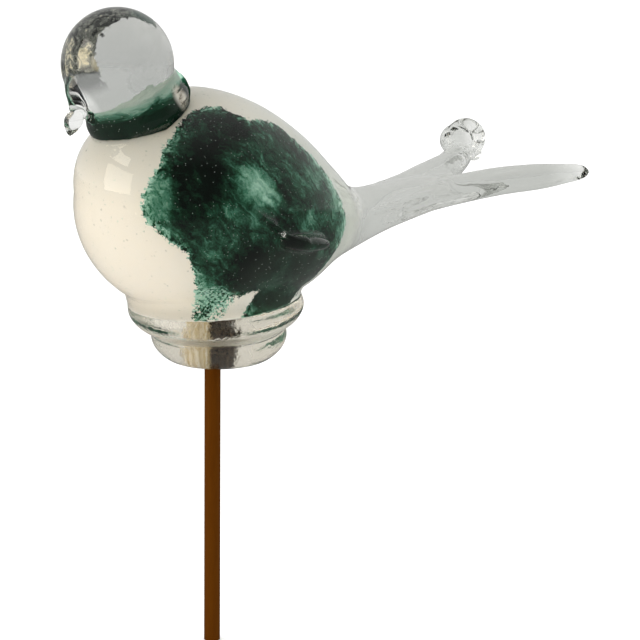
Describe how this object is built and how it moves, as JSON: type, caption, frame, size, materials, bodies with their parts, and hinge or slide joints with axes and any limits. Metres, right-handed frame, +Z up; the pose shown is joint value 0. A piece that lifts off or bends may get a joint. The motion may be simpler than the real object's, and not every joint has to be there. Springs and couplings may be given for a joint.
{
  "type": "glass bird garden stake",
  "caption": "Clear glass bird with a forked tail and a ringed foot, on a thin rod that is set in the ground.",
  "frame": {"origin": "middle of the rod's square lower end, where the picture cuts it off and where it goes into the ground", "axes": "+Z up along the rod, +X from the beak towards the forked tail, +Y across the bird"},
  "size_m": [0.2143, 0.0896, 0.2402],
  "materials": {
    "clear_glass": "polished",
    "brown_cork": "matte",
    "brown_paint": "satin"
  },
  "bodies": {
    "root": {"glass_bird": "clear_glass", "stake_plug": "brown_cork", "stake_rod": "brown_paint"}
  },
  "joints": []
}
